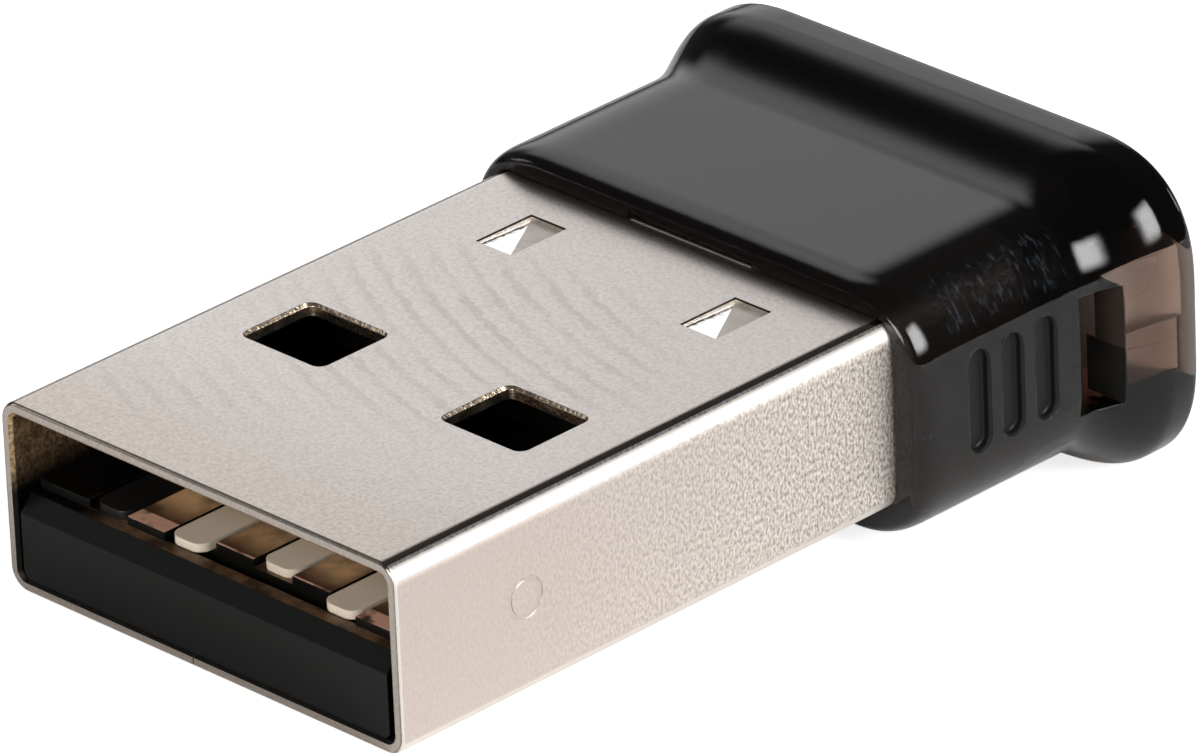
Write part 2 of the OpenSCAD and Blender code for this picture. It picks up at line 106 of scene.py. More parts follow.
def soft_outline(w, h, r, drop, steps=26):
    """Rounded rectangle whose corners run into its flats without a step in curvature."""
    power = CORNER_POWER
    reach = r * (1 - math.sqrt(0.5)) / (1 - 0.5 ** (1 / power))
    points = []
    for sx, sy, flip in ((1, 1, 0), (-1, 1, 1), (-1, -1, 0), (1, -1, 1)):
        for k in range(steps + 1):
            a = math.pi / 2 * ((steps - k) if flip else k) / steps
            dx, dy = max(math.cos(a), 0) ** (2 / power), math.sin(a) ** (2 / power)
            points.append((sx * (w / 2 - reach + reach * dx), sy * (h / 2 - reach + reach * dy) - drop))
    return points


def ring_y(y, outline):
    """An outline in X and Z, placed at y."""
    return [(x, y, z) for x, z in outline]


def mix(a, b, t):
    """Number the share t of the way from a to b."""
    return a + (b - a) * t


def ease(t):
    """Share that starts and ends softly."""
    return t * t * (3 - 2 * t)


def quarter(steps):
    """Pairs of sine and cosine over a quarter turn."""
    angles = (math.pi / 2 * k / steps for k in range(steps + 1))
    return [(math.sin(a), math.cos(a)) for a in angles]


# Meshes
def mesh_object(name, points, faces, materials):
    """Object from points in millimetres, with its faces turned outwards."""
    mesh = bpy.data.meshes.new(name)
    mesh.from_pydata([tuple(c * MM for c in p) for p in points], [], faces)
    bm = bmesh.new()
    bm.from_mesh(mesh)
    bmesh.ops.recalc_face_normals(bm, faces=bm.faces)
    bm.to_mesh(mesh)
    bm.free()
    for m in materials:
        mesh.materials.append(m)
    obj = bpy.data.objects.new(name, mesh)
    bpy.context.scene.collection.objects.link(obj)
    return obj


def loft(name, rings, materials):
    """Closed solid through rings that have the same number of points."""
    n, last = len(rings[0]), len(rings) - 1
    faces = [list(range(n))]
    for j in range(last):
        for k in range(n):
            a, b = j * n + k, j * n + (k + 1) % n
            faces.append([a, a + n, b + n, b])
    faces.append([last * n + k for k in reversed(range(n))])
    return mesh_object(name, [p for r in rings for p in r], faces, materials)


def box(name, low, high, materials):
    """Block between two corners."""
    corners = [(x, y, z) for x in (low[0], high[0]) for y in (low[1], high[1]) for z in (low[2], high[2])]
    faces = [(0, 1, 3, 2), (4, 6, 7, 5), (0, 4, 5, 1), (2, 3, 7, 6), (0, 2, 6, 4), (1, 5, 7, 3)]
    return mesh_object(name, corners, faces, materials)


def bake(obj):
    """The object's modifiers become part of its mesh."""
    graph = bpy.context.evaluated_depsgraph_get()
    mesh = bpy.data.meshes.new_from_object(obj.evaluated_get(graph))
    obj.modifiers.clear()
    old = obj.data
    obj.data = mesh
    bpy.data.meshes.remove(old)


def combine(obj, other, operation):
    """Takes the other solid out of the object or joins it on, and its faces keep their material."""
    m = obj.modifiers.new("combine", "BOOLEAN")
    m.operation = operation
    m.solver = "EXACT"
    m.material_mode = "TRANSFER"
    m.object = other
    bake(obj)
    mesh = other.data
    bpy.data.objects.remove(other)
    bpy.data.meshes.remove(mesh)


def cut(obj, *cutters):
    """Takes each cutter out of the object."""
    for cutter in cutters:
        combine(obj, cutter, "DIFFERENCE")


def join(obj, other):
    """Joins the other solid on."""
    combine(obj, other, "UNION")


def smooth(obj, angle):
    """Smooth shading up to an angle, with flat faces that stay flat beside their rounds."""
    obj.data.shade_smooth()
    bm = bmesh.new()
    bm.from_mesh(obj.data)
    for e in bm.edges:
        sharp = len(e.link_faces) != 2 or e.calc_face_angle(math.pi) > math.radians(angle)
        e.smooth = not sharp
    bm.to_mesh(obj.data)
    bm.free()
    m = obj.modifiers.new("flat faces", "WEIGHTED_NORMAL")
    m.keep_sharp = True
    m.weight = 50
    bake(obj)


def present(obj, slot, *nodes):
    """The piece rides the adapter, and stands for the CAD nodes named."""
    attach(obj, "root")
    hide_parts(*nodes)


# Materials
class Shader:
    """A node material, with short ways to add and join its nodes."""

    def __init__(self, name, **values):
        self.material = bpy.data.materials.new(name)
        self.material.use_nodes = True
        self.nodes = self.material.node_tree.nodes
        self.links = self.material.node_tree.links
        self.main = self.nodes["Principled BSDF"]
        self.output = self.nodes["Material Output"]
        for key, value in values.items():
            self.main.inputs[key.replace("_", " ")].default_value = value

    def node(self, kind, **values):
        """New node. Each value goes to its setting or its socket of that name."""
        n = self.nodes.new("ShaderNode" + kind)
        for key, value in values.items():
            if hasattr(n, key):
                setattr(n, key, value)
            else:
                n.inputs[key.replace("_", " ")].default_value = value
        return n

    def link(self, source, target):
        self.links.new(source, target)

    def feed(self, value, target):
        """Puts a socket, a number or a colour into the target."""
        if isinstance(value, tuple):
            target.default_value = (*value, 1)
        elif isinstance(value, (int, float)):
            target.default_value = value
        else:
            self.link(value, target)

    def place(self):
        """The object's own coordinates, in metres."""
        return self.node("TexCoord").outputs["Object"]

    def mapped(self, scale=(1, 1, 1), shift=(0, 0, 0)):
        """The object's own coordinates, scaled and then shifted."""
        n = self.node("Mapping", Scale=scale, Location=shift)
        self.link(self.place(), n.inputs["Vector"])
        return n.outputs["Vector"]

    def noise(self, scale, detail=3.0, roughness=0.5, stretch=None):
        """Cloudy noise from 0 to 1, finer with a larger scale."""
        n = self.node("TexNoise", Scale=scale, Detail=detail, Roughness=roughness)
        self.link(self.mapped(stretch) if stretch else self.place(), n.inputs["Vector"])
        return n.outputs["Fac"]

    def distance(self, middle, radii):
        """Distance in X and Y from a middle, as a share of the radii, all in millimetres."""
        scale = [1 / (r * MM) for r in radii]
        shift = [-m / r for m, r in zip(middle, radii)]
        n = self.node("VectorMath", operation="LENGTH")
        self.link(self.mapped((*scale, 0), (*shift, 0)), n.inputs[0])
        return n.outputs["Value"]

    def math(self, operation, *values):
        """One arithmetic step on sockets or numbers."""
        n = self.node("Math", operation=operation)
        for value, target in zip(values, n.inputs):
            self.feed(value, target)
        return n.outputs[0]

    def where(self):
        """X, Y and Z of the point, in metres."""
        n = self.node("SeparateXYZ")
        self.link(self.place(), n.inputs["Vector"])
        return n.outputs

    def facing(self):
        """X, Y and Z of the flat face's own normal."""
        n = self.node("SeparateXYZ")
        self.link(self.node("NewGeometry").outputs["True Normal"], n.inputs["Vector"])
        return n.outputs

    def level(self, value, start, end, low=0.0, high=1.0, interpolation="LINEAR"):
        """Runs evenly from low to high while the value runs from start to end."""
        n = self.node("MapRange", interpolation_type=interpolation)
        for key, number in (("From Min", start), ("From Max", end), ("To Min", low), ("To Max", high)):
            n.inputs[key].default_value = number
        self.link(value, n.inputs["Value"])
        return n.outputs["Result"]

    def step(self, value, start, end, low=0.0, high=1.0):
        """Runs softly from low to high while the value runs from start to end."""
        return self.level(value, start, end, low, high, "SMOOTHSTEP")

    def stops(self, value, table):
        """Number on the line through the table's pairs of value and number."""
        n = self.node("ValToRGB")
        elements = n.color_ramp.elements
        elements[0].position, elements[1].position = table[0][0], table[-1][0]
        for position, _ in table[1:-1]:
            elements.new(position)
        for element, (_, number) in zip(elements, table):
            element.color = (number, number, number, 1)
        self.link(value, n.inputs["Fac"])
        return n.outputs["Color"]

    def between(self, share, a, b):
        """Number between a and b."""
        n = self.node("Mix", data_type="FLOAT")
        for value, target in ((share, n.inputs[0]), (a, n.inputs[2]), (b, n.inputs[3])):
            self.feed(value, target)
        return n.outputs[0]

    def blend(self, share, a, b):
        """Colour between a and b, each a colour or a socket."""
        n = self.node("Mix", data_type="RGBA")
        for value, target in ((share, n.inputs[0]), (a, n.inputs[6]), (b, n.inputs[7])):
            self.feed(value, target)
        return n.outputs[2]

    def color(self, source):
        self.link(source, self.main.inputs["Base Color"])

    def rough(self, source):
        self.link(source, self.main.inputs["Roughness"])

    def uneven(self, roughness, spread, scale, detail):
        """Roughness that wanders by the share spread."""
        low, high = roughness * (1 - spread), roughness * (1 + spread)
        self.rough(self.level(self.noise(scale, detail), 0.3, 0.7, low, high))

    def bump(self, *layers, edge):
        """Stacks bumps of a height, a strength and a distance in millimetres. edge rounds sharp edges."""
        normal = self.node("Bevel", samples=6, Radius=edge * MM).outputs["Normal"]
        for height, strength, distance in layers:
            b = self.node("Bump", Strength=strength, Distance=distance * MM)
            self.link(height, b.inputs["Height"])
            self.link(normal, b.inputs["Normal"])
            normal = b.outputs["Normal"]
        self.link(normal, self.main.inputs["Normal"])


def metal(name, color, roughness, grain=0.0, grain_scale=9000.0):
    """Metal with fine grain of the given strength, or none."""
    s = Shader(name, Base_Color=(*color, 1), Metallic=1.0, Roughness=roughness)
    s.uneven(roughness, spread=0.15, scale=2500, detail=4)
    layers = [(s.noise(grain_scale), grain, 0.02)] if grain else []
    s.bump(*layers, edge=0.03)
    return s.material


def plastic(name, color, roughness, grain=0.05, edge=0.04, gloss=0.5):
    """Opaque plastic or ceramic with fine grain."""
    s = Shader(name, Base_Color=(*color, 1), Roughness=roughness, Specular_IOR_Level=gloss)
    s.uneven(roughness, spread=0.1, scale=1500, detail=3)
    s.bump((s.noise(7000), grain, 0.01), edge=edge)
    return s.material


# Colours of the shell, from the flat top over the bend to the side
SATIN, SATIN_AT_MOUTH, SATIN_SIDE = (0.72, 0.66, 0.61), (0.6, 0.52, 0.45), (0.7, 0.615, 0.57)
GRAIN_DARK, GRAIN_LIGHT = (0.3, 0.24, 0.2), (1.0, 0.94, 0.88)
# The bend's dark colour is a painted reflection along the bend and also darkens the top's grain; its
# light colour is a painted highlight
GRAIN_AND_BEND_REFLECTION_DARK, BEND_HIGHLIGHT = (0.3, 0.27, 0.24), (0.93, 0.88, 0.835)
RIPPLE_DARK, CLOUD_DARK = (0.38, 0.35, 0.33), (0.6, 0.54, 0.49)

# How far the sheet has turned from its top to its side, and its roughness there
BEND_ROUGHNESS = ((0.1, 0.28), (0.2, 0.16), (0.42, 0.14), (0.54, 0.44), (0.93, 0.5), (0.99, 0.5))

# Middle of the ripples' arcs, and the two patches that have them, in millimetres
ARCS_X, ARCS_Y = 7.4, 29
RIPPLES_MIDDLE, RIPPLES_RADII = (-0.5, 8.29787), (5.0, 4.25532)
FRONT_RIPPLES_MIDDLE, FRONT_RIPPLES_RADII = (-3.14286, 2.63158), (2.85714, 2.63158)


def ripples(s):
    """Height of the ripples, which run in wide arcs, and how strong they are at each place."""
    arcs = s.node("TexWave", wave_type="RINGS", rings_direction="Z", Scale=500.0, Distortion=2.2,
                  Detail=3.0, Detail_Scale=4.5, Detail_Roughness=0.62)
    s.link(s.mapped(shift=(-ARCS_X * MM, -ARCS_Y * MM, 0)), arcs.inputs["Vector"])
    strength = s.step(s.distance(RIPPLES_MIDDLE, RIPPLES_RADII), 1.2, 0.6)
    at_mouth = s.step(s.distance(FRONT_RIPPLES_MIDDLE, FRONT_RIPPLES_RADII), 1.1, 0.4, 0.0, 0.6)
    strength = s.math("MAXIMUM", strength, at_mouth)
    strength = s.math("MULTIPLY", strength, s.step(s.noise(420, detail=2), 0.35, 0.6, 0.35, 1.0))
    strength = s.math("MULTIPLY", strength, s.step(s.facing()["Z"], 0.9, 0.99))
    return arcs.outputs["Fac"], strength


def shell_metal():
    """Nickel-plated sheet: ripples on its top, coarse grain on its sides, and polished bends between,
    which carry a painted dark reflection line and a painted highlight band.
    """
    s = Shader("shell nickel", Metallic=1.0)
    turned = s.math("ABSOLUTE", s.facing()["X"])
    y = s.where()["Y"]
    fine = s.noise(11000, roughness=0.6)
    coarse = s.noise(15000, detail=2, roughness=0.6, stretch=(1, 1, 0.6))
    flecks = s.between(s.step(turned, 0.955, 0.995), fine, coarse)
    grain = s.blend(s.level(flecks, 0.3, 0.62), GRAIN_DARK, GRAIN_LIGHT)

    # The top, a little browner towards the mouth
    top_grain = 0.3
    top = s.blend(s.step(y, 5 * MM, 0.0), SATIN, SATIN_AT_MOUTH)
    top = s.blend(top_grain, top, s.blend(0.3, grain, GRAIN_AND_BEND_REFLECTION_DARK))

    # The bend is polished: a painted dark reflection line with a ragged border, then a painted highlight
    # band
    ragged = s.math("ADD", turned, s.math("MULTIPLY", s.math("SUBTRACT", fine, 0.5), 0.25))
    top = s.blend(s.step(ragged, 0.13, 0.24), top, GRAIN_AND_BEND_REFLECTION_DARK)
    top = s.blend(s.step(ragged, 0.44, 0.58), top, BEND_HIGHLIGHT)

    # The grain of the sides grows from the mouth to the cap
    side_grain = s.step(y, 2 * MM, EXPOSED * MM, 0.1, 1.0)
    on_side = s.step(turned, 0.9, 0.995)
    color = s.blend(on_side, top, s.blend(side_grain, SATIN_SIDE, grain))

    height, strength = ripples(s)
    line = s.math("MULTIPLY", s.step(height, 0.38, 0.05), strength)
    color = s.blend(s.math("MULTIPLY", line, 0.36), color, RIPPLE_DARK)
    s.color(s.blend(s.step(s.noise(330), 0.3, 0.7, 0.0, 0.09), color, CLOUD_DARK))
    s.rough(s.stops(turned, BEND_ROUGHNESS))
    relief = s.between(on_side, 0.4, side_grain)
    s.bump(
        (s.math("MULTIPLY", flecks, relief), 0.5, 0.02),
        (s.math("MULTIPLY", height, strength), 0.2, 0.02),
        edge=0.02,
    )
    return s.material


def sheared_wall():
    """Wall of a dent: painted shade as a dark line along its upper edge, and bright metal below."""
    s = Shader("sheared wall", Metallic=1.0, Roughness=0.4)
    top, line, border = PLUG_H / 2, 0.045, 0.015
    # Painted shade along the wall's upper edge
    dark = s.step(s.where()["Z"], (top - line - border) * MM, (top - line) * MM)
    s.color(s.blend(dark, (0.8, 0.75, 0.7), (0.05, 0.04, 0.03)))
    return s.material


def inside_metal():
    """The sheet's inner face: brown and sparkling near the mouth, where light falls, and painted black as
    shade further in.
    """
    s = Shader("shell inside", Metallic=0.75, Roughness=0.4)
    _, y, z = s.where()
    specks = s.noise(9000, roughness=0.7)
    brown = s.blend(s.step(specks, 0.35, 0.75), (0.24, 0.15, 0.075), (0.85, 0.6, 0.33))
    # Painted light: the brown shows only near the mouth, and painted shade is black further in
    lit = s.math("MULTIPLY", s.step(y, 3.6 * MM, 1.2 * MM), s.step(z, 0.0, 0.9 * MM))
    s.color(s.blend(lit, (0.008, 0.007, 0.006), brown))
    s.bump((specks, 0.9, 0.02), edge=0.03)
    return s.material


def carrier_plastic():
    """Black insulator. A painted reflection of the shell's warm inner face lies on its ledge and lands,
    and fades further in.
    """
    s = Shader("carrier plastic", Specular_IOR_Level=0.2)
    x, y, z = s.where()
    facing = s.facing()

    # Lands between the contacts, with a painted reflection of the shell's inner face and a painted copper
    # highlight along their front edge, and the ledge below with a dimmer painted brown reflection
    glow = s.math("MULTIPLY", s.step(y, 0.9 * MM, 2.2 * MM), s.step(s.noise(900), 0.3, 0.65, 0.2, 1.0))
    land = s.blend(glow, (0.07, 0.032, 0.016), (0.95, 0.58, 0.29))
    edge_highlight = s.step(s.noise(1800, detail=2), 0.3, 0.5)
    edge_highlight = s.math("MULTIPLY", s.step(y, 1.12 * MM, 1.08 * MM), edge_highlight)
    land = s.blend(edge_highlight, land, (0.9, 0.52, 0.38))
    ledge = s.blend(s.step(s.noise(1500), 0.35, 0.7), (0.05, 0.03, 0.018), (0.22, 0.13, 0.065))
    top = s.blend(s.step(z, 0.1 * MM, 0.15 * MM), ledge, land)

    # The painted reflection ends in the left corner and further in, where black is painted for the dark
    # reflection there, and lies on faces that look up only
    reflection_reach = s.math("MULTIPLY", s.step(x, -4.2 * MM, -2.9 * MM), s.step(y, 4.5 * MM, 3.0 * MM))
    reflection_reach = s.math("MULTIPLY", reflection_reach, s.step(facing["Z"], 0.8, 0.95))
    top = s.blend(reflection_reach, (0.002, 0.002, 0.002), top)
    face = s.blend(s.step(z, -1.9 * MM, 0.0), (0.003, 0.0026, 0.0022), (0.007, 0.0064, 0.0056))
    s.color(s.blend(s.step(facing["Y"], -0.6, -0.95), top, face))
    s.rough(s.level(s.noise(1500), 0.3, 0.7, 0.32, 0.42))
    s.bump((s.noise(7000), 0.12, 0.01), edge=0.04)
    return s.material


def contact_metal():
    """Tinned contacts, light at their noses and browner further in, where the shell's inner face is
    painted on them as a reflection. The one in the corner away from the light, and all of them deep
    inside, are painted dark as shade.
    """
    s = Shader("contact tin", Roughness=0.4)
    x, y, _ = s.where()
    # Browner further in: a painted reflection of the shell's inner face
    bright = s.blend(s.step(y, 1.5 * MM, 2.6 * MM), (1.0, 0.86, 0.68), (0.9, 0.7, 0.5))
    # Painted shade on the contact in the left corner and on all of them deep inside
    shaded = s.math("MAXIMUM", s.step(x, -2.5 * MM, -2.9 * MM), s.step(y, 3.0 * MM, 4.5 * MM))
    s.color(s.blend(shaded, bright, (0.012, 0.011, 0.01)))
    s.bump((s.noise(9000), 0.1, 0.02), edge=0.05)
    return s.material


# Colour that the smoked plastic lets through, and how fast the rest is lost
DYE, DYE_DENSITY = (0.46, 0.31, 0.21), 1950.0
CLEAR_ROUGHNESS, SATIN_ROUGHNESS, WORN_ROUGHNESS = 0.04, 0.62, 0.1


def satin_places(s):
    """1 on the post's rear face and half of it on the slot's walls."""
    x, y, z = s.where()
    near = 0.05
    over, under = (SLOT_HIGH + near) * MM, (SLOT_LOW - near) * MM
    level = s.math("MULTIPLY", s.math("LESS_THAN", z, over), s.math("GREATER_THAN", z, under))
    post = s.math("GREATER_THAN", x, (SLOT_OUT_X - 2 * near) * MM)
    post = s.math("MULTIPLY", post, s.math("GREATER_THAN", y, (TOTAL - near) * MM))
    wall = s.math("GREATER_THAN", x, (SLOT_IN_X - near) * MM)
    wall = s.math("MULTIPLY", wall, s.math("LESS_THAN", x, (SLOT_OUT_X + near) * MM))
    wall = s.math("MULTIPLY", wall, s.math("GREATER_THAN", y, (SLOT_FRONT - near) * MM))
    return s.math("MULTIPLY", s.math("MAXIMUM", post, s.math("MULTIPLY", wall, 0.5)), level)


def worn_places(s):
    """1 along the right long edge of the top, between the front round and the flare."""
    facing = s.facing()
    y = s.where()["Y"]
    edge = s.step(s.math("MULTIPLY", facing["X"], facing["Z"]), 0.3, 0.46)
    edge = s.math("MULTIPLY", edge, s.step(y, (TOTAL - 2.9) * MM, (TOTAL - 3.5) * MM))
    return s.math("MULTIPLY", edge, s.step(y, (EXPOSED + 0.9) * MM, (EXPOSED + 1.5) * MM))


def smoked_plastic():
    """Clear plastic with a dark dye: thick parts look black, and the thin corner post brown.

    The post's rear face and the slot's walls are satin. A long edge of the top carries fine scuffs.
    """
    s = Shader("smoked cap", Base_Color=(1, 1, 1, 1), IOR=1.48, Transmission_Weight=1.0)
    volume = s.node("VolumeAbsorption", Color=(*DYE, 1), Density=DYE_DENSITY)
    s.link(volume.outputs["Volume"], s.output.inputs["Volume"])
    s.bump((s.noise(260), 0.04, 0.03), edge=0.05)

    satin = s.math("MULTIPLY", satin_places(s), SATIN_ROUGHNESS)
    worn = worn_places(s)
    rough = s.math("ADD", satin, s.math("MULTIPLY", worn, WORN_ROUGHNESS))
    s.rough(s.math("ADD", rough, CLEAR_ROUGHNESS))
    scuffs = s.step(s.noise(9500, roughness=0.65, stretch=(0.28, 1, 0.28)), 0.5, 0.74, 0.0, 0.055)
    bluish = s.node("BsdfDiffuse", Color=(0.44, 0.54, 0.68, 1))
    mixed = s.node("MixShader")
    s.link(s.math("MULTIPLY", worn, scuffs), mixed.inputs["Fac"])
    s.link(s.main.outputs[0], mixed.inputs[1])
    s.link(bluish.outputs[0], mixed.inputs[2])
    s.link(mixed.outputs[0], s.output.inputs["Surface"])
    return s.material


NICKEL = shell_metal()
INSIDE = inside_metal()
SHEAR = sheared_wall()
# The left facet's metal is lighter than the sheet's, a painted highlight, on a face the punch also left
# smoother
FACET_HIGHLIGHT = metal("pressed facet, painted highlight", (1.0, 0.97, 0.93), 0.14, grain=0.8, grain_scale=4000.0)
DENT_FLOOR = metal("dent floor", (0.7, 0.64, 0.58), 0.5, grain=0.5, grain_scale=5000.0)
CUT_EDGE = metal("cut sheet edge", (0.62, 0.5, 0.38), 0.24, grain=0.7)
SMOKED = smoked_plastic()
LINER = plastic("black inner wall", (0.006, 0.006, 0.006), 0.6, grain=0.0)
# Dark skins on the slot's inner wall and on the post's front are painted shade, and the post's front is
# black below
SLOT_WALL_SHADE = plastic("slot wall painted shade", (0.045, 0.036, 0.033), 0.25)
POST_FRONT_SHADE = plastic("post front painted shade", (0.038, 0.028, 0.023), 0.35)
POST_FRONT_DEEP_SHADE = plastic("post front painted deep shade", (0.012, 0.012, 0.01), 0.3)
GROOVE = plastic("rough groove", (0.01, 0.0095, 0.009), 0.34, grain=1.0, edge=0.03, gloss=0.2)

NODE_MATERIALS = {
    "carrier_plastic": carrier_plastic(),
    "contact_tin": contact_metal(),
    "board_laminate": plastic("board laminate", (0.02, 0.09, 0.04), 0.35),
    "copper": metal("copper", (0.78, 0.45, 0.24), 0.3),
    "chip_epoxy": plastic("chip epoxy", (0.02, 0.02, 0.022), 0.55),
    "crystal_lid": metal("crystal lid", (0.75, 0.74, 0.7), 0.3),
    "capacitor_ceramic": plastic("capacitor ceramic", (0.42, 0.27, 0.15), 0.4),
    "filter_ceramic": plastic("filter ceramic", (0.62, 0.6, 0.55), 0.45),
    "inductor_ceramic": plastic("inductor ceramic", (0.06, 0.09, 0.16), 0.4),
    "led_resin": plastic("led resin", (0.6, 0.65, 0.8), 0.15),
    "resistor_film": plastic("resistor film", (0.015, 0.015, 0.02), 0.4),
    "ferrite": plastic("ferrite", (0.06, 0.06, 0.065), 0.5),
    "solder": metal("solder", (0.66, 0.66, 0.66), 0.28),
}


# The plug's folded sheet
def shell_ring(y, inset, outer=True):
    """The sheet's outer or inner outline at y, drawn in by inset."""
    w, h, r = PLUG_W, PLUG_H, PLUG_CORNER
    if not outer:
        w, h, r = w - 2 * SHEET, h - 2 * SHEET, r - SHEET
    outline = rounded_outline(w - 2 * inset, h - 2 * inset, max(r - inset, LEAST_ROUND), steps=10)
    return ring_y(y, outline)


def latch_hole(x, z_in, z_out):
    """Punched hole, whose outer edge is drawn in by the punch."""
    y = HOLE_FRONT + HOLE_L / 2
    sign = 1 if z_out > z_in else -1
    levels = [(z_in - sign * OVER / 2, 0), (z_out - sign * HOLE_ROLL, 0)]
    for s, c in quarter(5)[1:]:
        levels.append((z_out - sign * HOLE_ROLL * c, HOLE_ROLL * (1 - c) * HOLE_DRAW))
    levels.append((z_out + sign * OVER / 2, HOLE_ROLL * HOLE_DRAW))
    rings = []
    for z, grow in levels:
        outline = rounded_outline(HOLE_W + 2 * grow, HOLE_L + 2 * grow, HOLE_R + grow, steps=8)
        rings.append([(x + px, y + py, z) for px, py in outline])
    return loft("hole", rings, [CUT_EDGE])


def ring_mark():
    """Shallow ring in the shell's right side."""
    face, steps = PLUG_W / 2, 40
    points, faces = [], []
    for k in range(steps):
        a = 2 * math.pi * k / steps
        for radius in (MARK_D / 2 - MARK_WIDTH, MARK_D / 2):
            for x in (face - MARK_DEPTH, face + OVER):
                points.append((x, MARK_Y + radius * math.cos(a), MARK_Z + radius * math.sin(a)))
    for k in range(steps):
        here, there = 4 * k, 4 * ((k + 1) % steps)
        for a, b in ((0, 1), (1, 3), (3, 2), (2, 0)):
            faces.append((here + a, here + b, there + b, there + a))
    return mesh_object("mark", points, faces, [NICKEL])


def dent_wedge(x, top, reach, grow, materials):
    """Wedge under one dent. Materials after the first are for its walls, left facet and right facet."""
    left, right = x - DENT_W / 2 - grow, x + DENT_W / 2 + grow
    front, rear = DENT_FRONT - grow, DENT_FRONT + DENT_L + grow
    points = [(left, front, top + reach), (right, front, top + reach), (right, rear, top + reach),
              (left, rear, top + reach), (left, front, top - DENT_CORNER_DEPTH), (right, front, top),
              (right, rear, top - DENT_DEPTH), (left, rear, top - DENT_DEPTH)]
    faces = [(3, 2, 1, 0), (0, 1, 5, 4), (1, 2, 6, 5), (2, 3, 7, 6), (3, 0, 4, 7), (4, 5, 7), (5, 6, 7)]
    wedge = mesh_object("dent", points, faces, materials)
    if len(materials) > 1:
        for i, material in ((3, 1), (4, 1), (5, 2), (6, 3)):
            wedge.data.polygons[i].material_index = material
    return wedge


def seam_cutter():
    """Ribbon along the seam, which steps round two dovetails."""
    path = [Vector((SEAM_X, -OVER))]
    for y in LOCKS_Y:
        path += [Vector((SEAM_X, y - LOCK_L + LOCK_SLANT)), Vector((SEAM_X + LOCK_W, y - LOCK_L)),
                 Vector((SEAM_X + LOCK_W, y + LOCK_L)), Vector((SEAM_X, y + LOCK_L - LOCK_SLANT))]
    path.append(Vector((SEAM_X, SHELL_LEN + OVER)))
    left, right = [], []
    for i, p in enumerate(path):
        before = p - path[max(i - 1, 0)]
        after = path[min(i + 1, len(path) - 1)] - p
        d1 = (before if before.length else after).normalized()
        d2 = (after if after.length else before).normalized()
        n1, n2 = Vector((-d1.y, d1.x)), Vector((-d2.y, d2.x))
        across = (n1 + n2).normalized()
        across *= SEAM_GAP / 2 / max(across.dot(n1), SEAM_MITRE)
        left.append(p + across)
        right.append(p - across)
    outline = left + right[::-1]
    levels = (-PLUG_H / 2 - OVER, -PLUG_H / 2 + SHEET + SEAM_PAST)
    return loft("seam", [[(p.x, p.y, z) for p in outline] for z in levels], [CUT_EDGE])


def notch_ridge():
    """Thin raised line across the shell, just inside the cap's rim notch."""
    half = NOTCH_W / 2 - RIDGE_SHORT
    y, z = EXPOSED + RIDGE_Y, PLUG_H / 2
    turns = [math.pi * k / 4 for k in range(8)]
    outline = [(y + RIDGE_R * math.cos(a), z + RIDGE_R * math.sin(a)) for a in turns]
    return loft("ridge", [[(x, *p) for p in outline] for x in (-half, half)], [NICKEL])


def plug_shell():
    """Folded sheet with a rolled mouth, dents, latch holes, seam and round mark."""
    outer = [shell_ring(LIP * (1 - c), LIP * (1 - s)) for s, c in quarter(5)]
    outer.append(shell_ring(SHELL_LEN, 0))
    shell = loft("shell_sheet", outer, [NICKEL])
    inner = [shell_ring(-OVER, -INNER_LIP, outer=False), shell_ring(0, -INNER_LIP, outer=False)]
    inner += [shell_ring(INNER_LIP * s, -INNER_LIP * (1 - s), outer=False) for s, c in quarter(4)[1:]]
    inner.append(shell_ring(SHELL_LEN + OVER, 0, outer=False))
    cut(shell, loft("shell inside", inner, [INSIDE]))
    top = PLUG_H / 2
    for side in (-1, 1):
        join(shell, dent_wedge(side * DENT_X, top - SHEET, SHEET / 2, DENT_BULGE, [INSIDE]))
        cut(shell, dent_wedge(side * DENT_X, top, OVER, 0, [NICKEL, SHEAR, FACET_HIGHLIGHT, DENT_FLOOR]))
        cut(shell, latch_hole(side * HOLE_X, top - SHEET, top))
        cut(shell, latch_hole(side * HOLE_X, SHEET - top, -top))
    cut(shell, seam_cutter(), ring_mark())
    join(shell, notch_ridge())
    smooth(shell, angle=28)
    present(shell, "shell_nickel", "plug_shell")


# The one-piece smoked cap
def cap_ring(y, inset=0.0, t=0.0):
    """The cap's outline where the flare has run the share t from front part to flange."""
    w, h = mix(CAP_W, FLANGE_W, t), mix(CAP_H, FLANGE_H, t)
    r, drop = mix(CAP_R, FLANGE_R, t), mix(CAP_DROP, FLANGE_DROP, t)
    outline = soft_outline(w - 2 * inset, h - 2 * inset, r - inset, drop)
    side, middle = w / 2 - inset, len(outline) // 2
    line = [(side, -PARTING_DROP - PARTING_GAP), (side - PARTING_GAP, -PARTING_DROP),
            (side, -PARTING_DROP + PARTING_GAP)]
    other = [(-px, pz) for px, pz in reversed(line)]
    return ring_y(y, outline[:middle] + other + outline[middle:] + line)


def cap_rings():
    """Rings from the cap's front round over its flare to the flange's rear round."""
    rings = []
    for s, c in quarter(14):
        reach, inset = 1 - max(c, 0) ** ROUND_POWER, 1 - s ** ROUND_POWER
        rings.append(cap_ring(EXPOSED + FRONT_REACH * reach, FRONT_ROUND * inset))
    flare, flare_steps = FLARE + FLARE_LEAD, 32
    for k in range(flare_steps + 1):
        t = k / flare_steps
        rings.append(cap_ring(TOTAL - FLANGE_L - flare + flare * t, t=ease(t ** FLARE_BIAS)))
    rings += [cap_ring(TOTAL - REAR_ROUND * (1 - s), REAR_ROUND * (1 - c), 1) for s, c in quarter(8)]
    return rings


